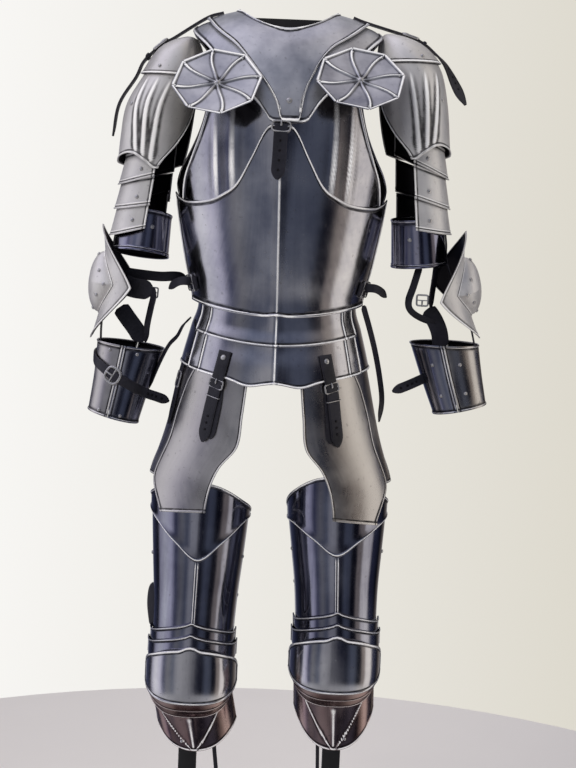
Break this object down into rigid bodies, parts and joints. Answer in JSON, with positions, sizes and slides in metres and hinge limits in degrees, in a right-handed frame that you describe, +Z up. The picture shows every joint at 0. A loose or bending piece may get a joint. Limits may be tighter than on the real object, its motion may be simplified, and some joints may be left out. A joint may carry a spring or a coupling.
{
  "type": "half armour on a stand",
  "caption": "Steel plate armour from neck to below the knees, its plates buckled together, hung on a black two-post display stand.",
  "frame": {"origin": "centre of the underside of the stand board", "axes": "+Z up, -Y the front that the armour faces, +X the wearer's left"},
  "size_m": [0.608, 0.36, 1.5276],
  "materials": {
    "steel": "polished, with faint handling marks",
    "dark_steel": "polished, darker from the leather beside it",
    "leather": "smooth, worn at the edges",
    "stand": "black satin paint"
  },
  "bodies": {
    "harness": {"breastplate": "steel", "plackart": "steel", "backplate": "steel", "gorget_front": "steel", "gorget_back": "steel", "collar": "steel", "fauld_upper": "steel", "fauld_lower": "steel", "culet": "steel", "breast_strap": "leather", "stand_board": "stand", "stand_frame": "stand", "besagew_l": "steel", "pauldron_l": "steel", "shoulder_lame_l": "steel", "arm_lame_1_l": "steel", "arm_lame_2_l": "steel", "arm_lame_3_l": "steel", "upper_cannon_l": "dark_steel", "couter_l": "steel", "vambrace_outer_l": "steel", "vambrace_inner_l": "steel", "arm_leather_l": "leather", "shoulder_strap_l": "leather", "tasset_l": "steel", "rear_tasset_l": "steel", "tasset_strap_l": "leather", "waist_strap_l": "leather", "cuisse_l": "steel", "knee_lame_1_l": "steel", "knee_lame_2_l": "steel", "knee_cop_l": "steel", "thigh_strap_l": "leather", "besagew_r": "steel", "pauldron_r": "steel", "shoulder_lame_r": "steel", "arm_lame_1_r": "steel", "arm_lame_2_r": "steel", "arm_lame_3_r": "steel", "upper_cannon_r": "dark_steel", "couter_r": "steel", "vambrace_outer_r": "steel", "vambrace_inner_r": "steel", "arm_leather_r": "leather", "shoulder_strap_r": "leather", "tasset_r": "steel", "rear_tasset_r": "steel", "tasset_strap_r": "leather", "waist_strap_r": "leather", "cuisse_r": "steel", "knee_lame_1_r": "steel", "knee_lame_2_r": "steel", "knee_cop_r": "steel", "thigh_strap_r": "leather"},
    "shin_l": {"shin_lame_1_l": "steel", "shin_lame_2_l": "steel", "demi_greave_l": "steel"},
    "shin_r": {"shin_lame_1_r": "steel", "shin_lame_2_r": "steel", "demi_greave_r": "steel"}
  },
  "joints": [
    {"name": "knee_l", "type": "hinge", "parent": "harness", "child": "shin_l", "pos_m": [0.111, 0, 0.538], "axis": [1, 0, 0], "range_deg": [0, 25]},
    {"name": "knee_r", "type": "hinge", "parent": "harness", "child": "shin_r", "pos_m": [-0.111, 0, 0.512], "axis": [1, 0, 0], "range_deg": [0, 25]}
  ]
}
